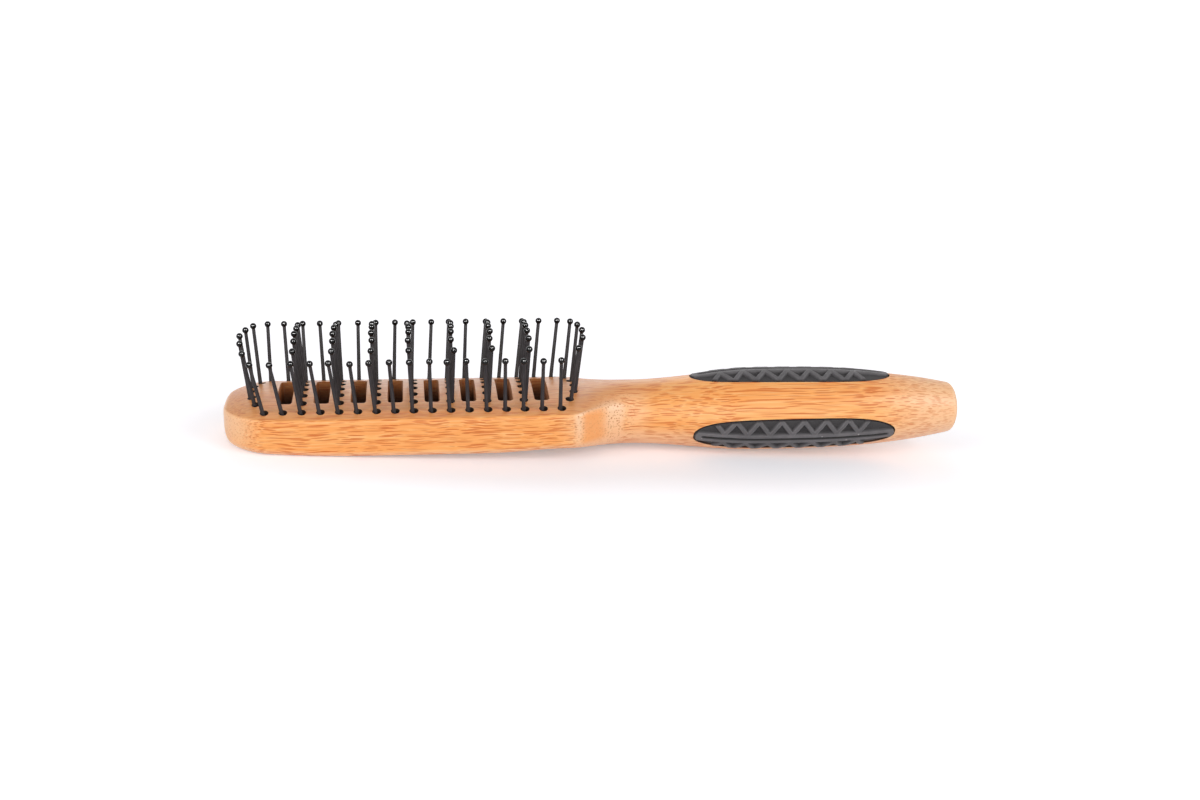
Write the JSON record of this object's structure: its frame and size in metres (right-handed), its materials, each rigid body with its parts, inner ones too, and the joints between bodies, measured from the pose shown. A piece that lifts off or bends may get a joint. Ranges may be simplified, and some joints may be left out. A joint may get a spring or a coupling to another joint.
{
  "type": "vent brush",
  "caption": "Bamboo vent hairbrush: crowned head with cross slots and rows of ball-tipped pins, round tapered handle with three ribbed rubber grip inlays.",
  "frame": {"origin": "under the middle of the brush's length, level with the lowest point of the handle", "axes": "+X along the brush from the head's nose to the handle's butt, +Z out of the crown where the pins stand, +Y across"},
  "size_m": [0.229, 0.0402, 0.0405],
  "materials": {
    "bamboo": "satin oiled bamboo",
    "rubber": "matte moulded rubber",
    "nylon": "satin nylon with glossy tips"
  },
  "bodies": {
    "root": {"back_grip": "rubber", "bamboo_body": "bamboo", "front_grip": "rubber", "pin_row1_column01": "nylon", "pin_row1_column02": "nylon", "pin_row1_column03": "nylon", "pin_row1_column04": "nylon", "pin_row1_column05": "nylon", "pin_row1_column06": "nylon", "pin_row1_column07": "nylon", "pin_row1_column08": "nylon", "pin_row1_column09": "nylon", "pin_row1_column10": "nylon", "pin_row1_column11": "nylon", "pin_row1_column12": "nylon", "pin_row1_column13": "nylon", "pin_row1_column14": "nylon", "pin_row1_column15": "nylon", "pin_row1_column16": "nylon", "pin_row1_column17": "nylon", "pin_row2_column03": "nylon", "pin_row2_column07": "nylon", "pin_row2_column11": "nylon", "pin_row2_column15": "nylon", "pin_row3_column01": "nylon", "pin_row3_column05": "nylon", "pin_row3_column09": "nylon", "pin_row3_column13": "nylon", "pin_row3_column17": "nylon", "pin_row4_column03": "nylon", "pin_row4_column07": "nylon", "pin_row4_column11": "nylon", "pin_row4_column15": "nylon", "pin_row5_column01": "nylon", "pin_row5_column05": "nylon", "pin_row5_column09": "nylon", "pin_row5_column13": "nylon", "pin_row5_column17": "nylon", "pin_row6_column03": "nylon", "pin_row6_column07": "nylon", "pin_row6_column11": "nylon", "pin_row6_column15": "nylon", "pin_row7_column01": "nylon", "pin_row7_column02": "nylon", "pin_row7_column03": "nylon", "pin_row7_column04": "nylon", "pin_row7_column05": "nylon", "pin_row7_column06": "nylon", "pin_row7_column07": "nylon", "pin_row7_column08": "nylon", "pin_row7_column09": "nylon", "pin_row7_column10": "nylon", "pin_row7_column11": "nylon", "pin_row7_column12": "nylon", "pin_row7_column13": "nylon", "pin_row7_column14": "nylon", "pin_row7_column15": "nylon", "pin_row7_column16": "nylon", "pin_row7_column17": "nylon", "top_grip": "rubber"}
  },
  "joints": []
}
